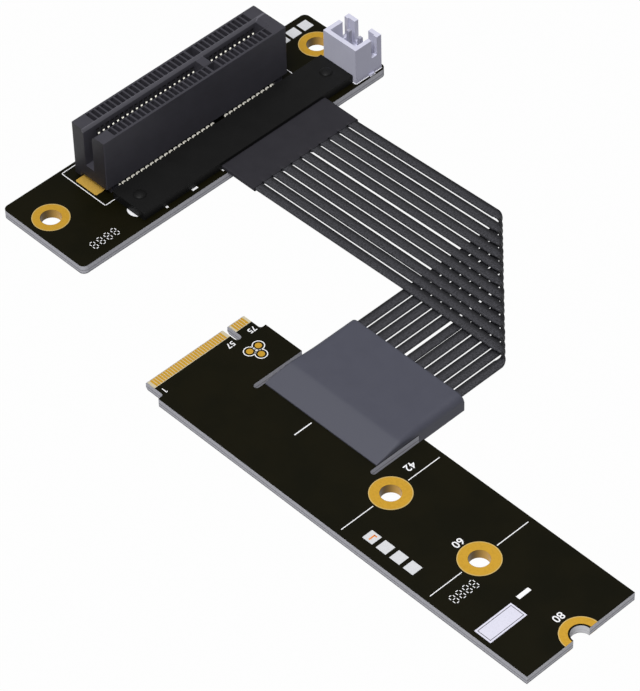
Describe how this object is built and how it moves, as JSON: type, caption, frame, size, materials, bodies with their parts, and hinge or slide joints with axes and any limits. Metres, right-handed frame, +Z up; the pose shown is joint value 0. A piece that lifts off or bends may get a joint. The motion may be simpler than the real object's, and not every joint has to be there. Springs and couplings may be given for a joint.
{
  "type": "pcie extension cable",
  "caption": "Flat ribbon cable folded at a right angle between a long edge-connector board and a short board with an open-ended card slot and a small power header.",
  "frame": {"origin": "middle of the two boards' outline, on the surface the part lies on", "axes": "+X along the drive board from its edge tab to its far end; +Y along the slot board towards the power header; +Z up out of the boards' component side"},
  "size_m": [0.1238, 0.0762, 0.0128],
  "materials": {
    "board_mask": "near-black solder mask on glass-fibre board, satin, with bare laminate edges",
    "gold": "gold plating, satin",
    "tin": "bright tin plating",
    "slot_plastic": "black moulded plastic, fine grain",
    "header_plastic": "pale grey-white moulded plastic",
    "cover_plastic": "black moulded plastic, satin",
    "sleeve_film": "dark shrink film, soft sheen",
    "boot_rubber": "dark grey moulded rubber, matte",
    "ribbon_jacket": "dark grey cable jacket with a fine woven texture"
  },
  "bodies": {
    "root": {"slot_board": "board_mask", "drive_board": "board_mask", "slot_board_hole_plating": "gold", "drive_board_hole_plating": "gold", "drive_board_end_plating": "gold", "edge_fingers_upper": "gold", "edge_fingers_lower": "gold", "drive_board_test_pads": "gold", "slot_end_pad": "gold", "slot_contacts_front": "tin", "slot_contacts_rear": "tin", "slot_solder_pads": "tin", "header_pins": "tin", "header_solder": "tin", "slot_board_wire_ends": "tin", "slot_board_cable_pads": "tin", "drive_board_wire_ends": "tin", "drive_board_cable_pads": "tin", "slot_housing": "slot_plastic", "header_housing": "header_plastic", "cover_plate": "cover_plastic", "cover_rivets": "cover_plastic", "upper_sleeve": "sleeve_film", "lower_boot": "boot_rubber", "ribbon_strip_01": "ribbon_jacket", "ribbon_strip_02": "ribbon_jacket", "ribbon_strip_03": "ribbon_jacket", "ribbon_strip_04": "ribbon_jacket", "ribbon_strip_05": "ribbon_jacket", "ribbon_strip_06": "ribbon_jacket", "ribbon_strip_07": "ribbon_jacket", "ribbon_strip_08": "ribbon_jacket", "ribbon_strip_09": "ribbon_jacket", "ribbon_strip_10": "ribbon_jacket", "ribbon_strip_11": "ribbon_jacket"}
  },
  "joints": []
}
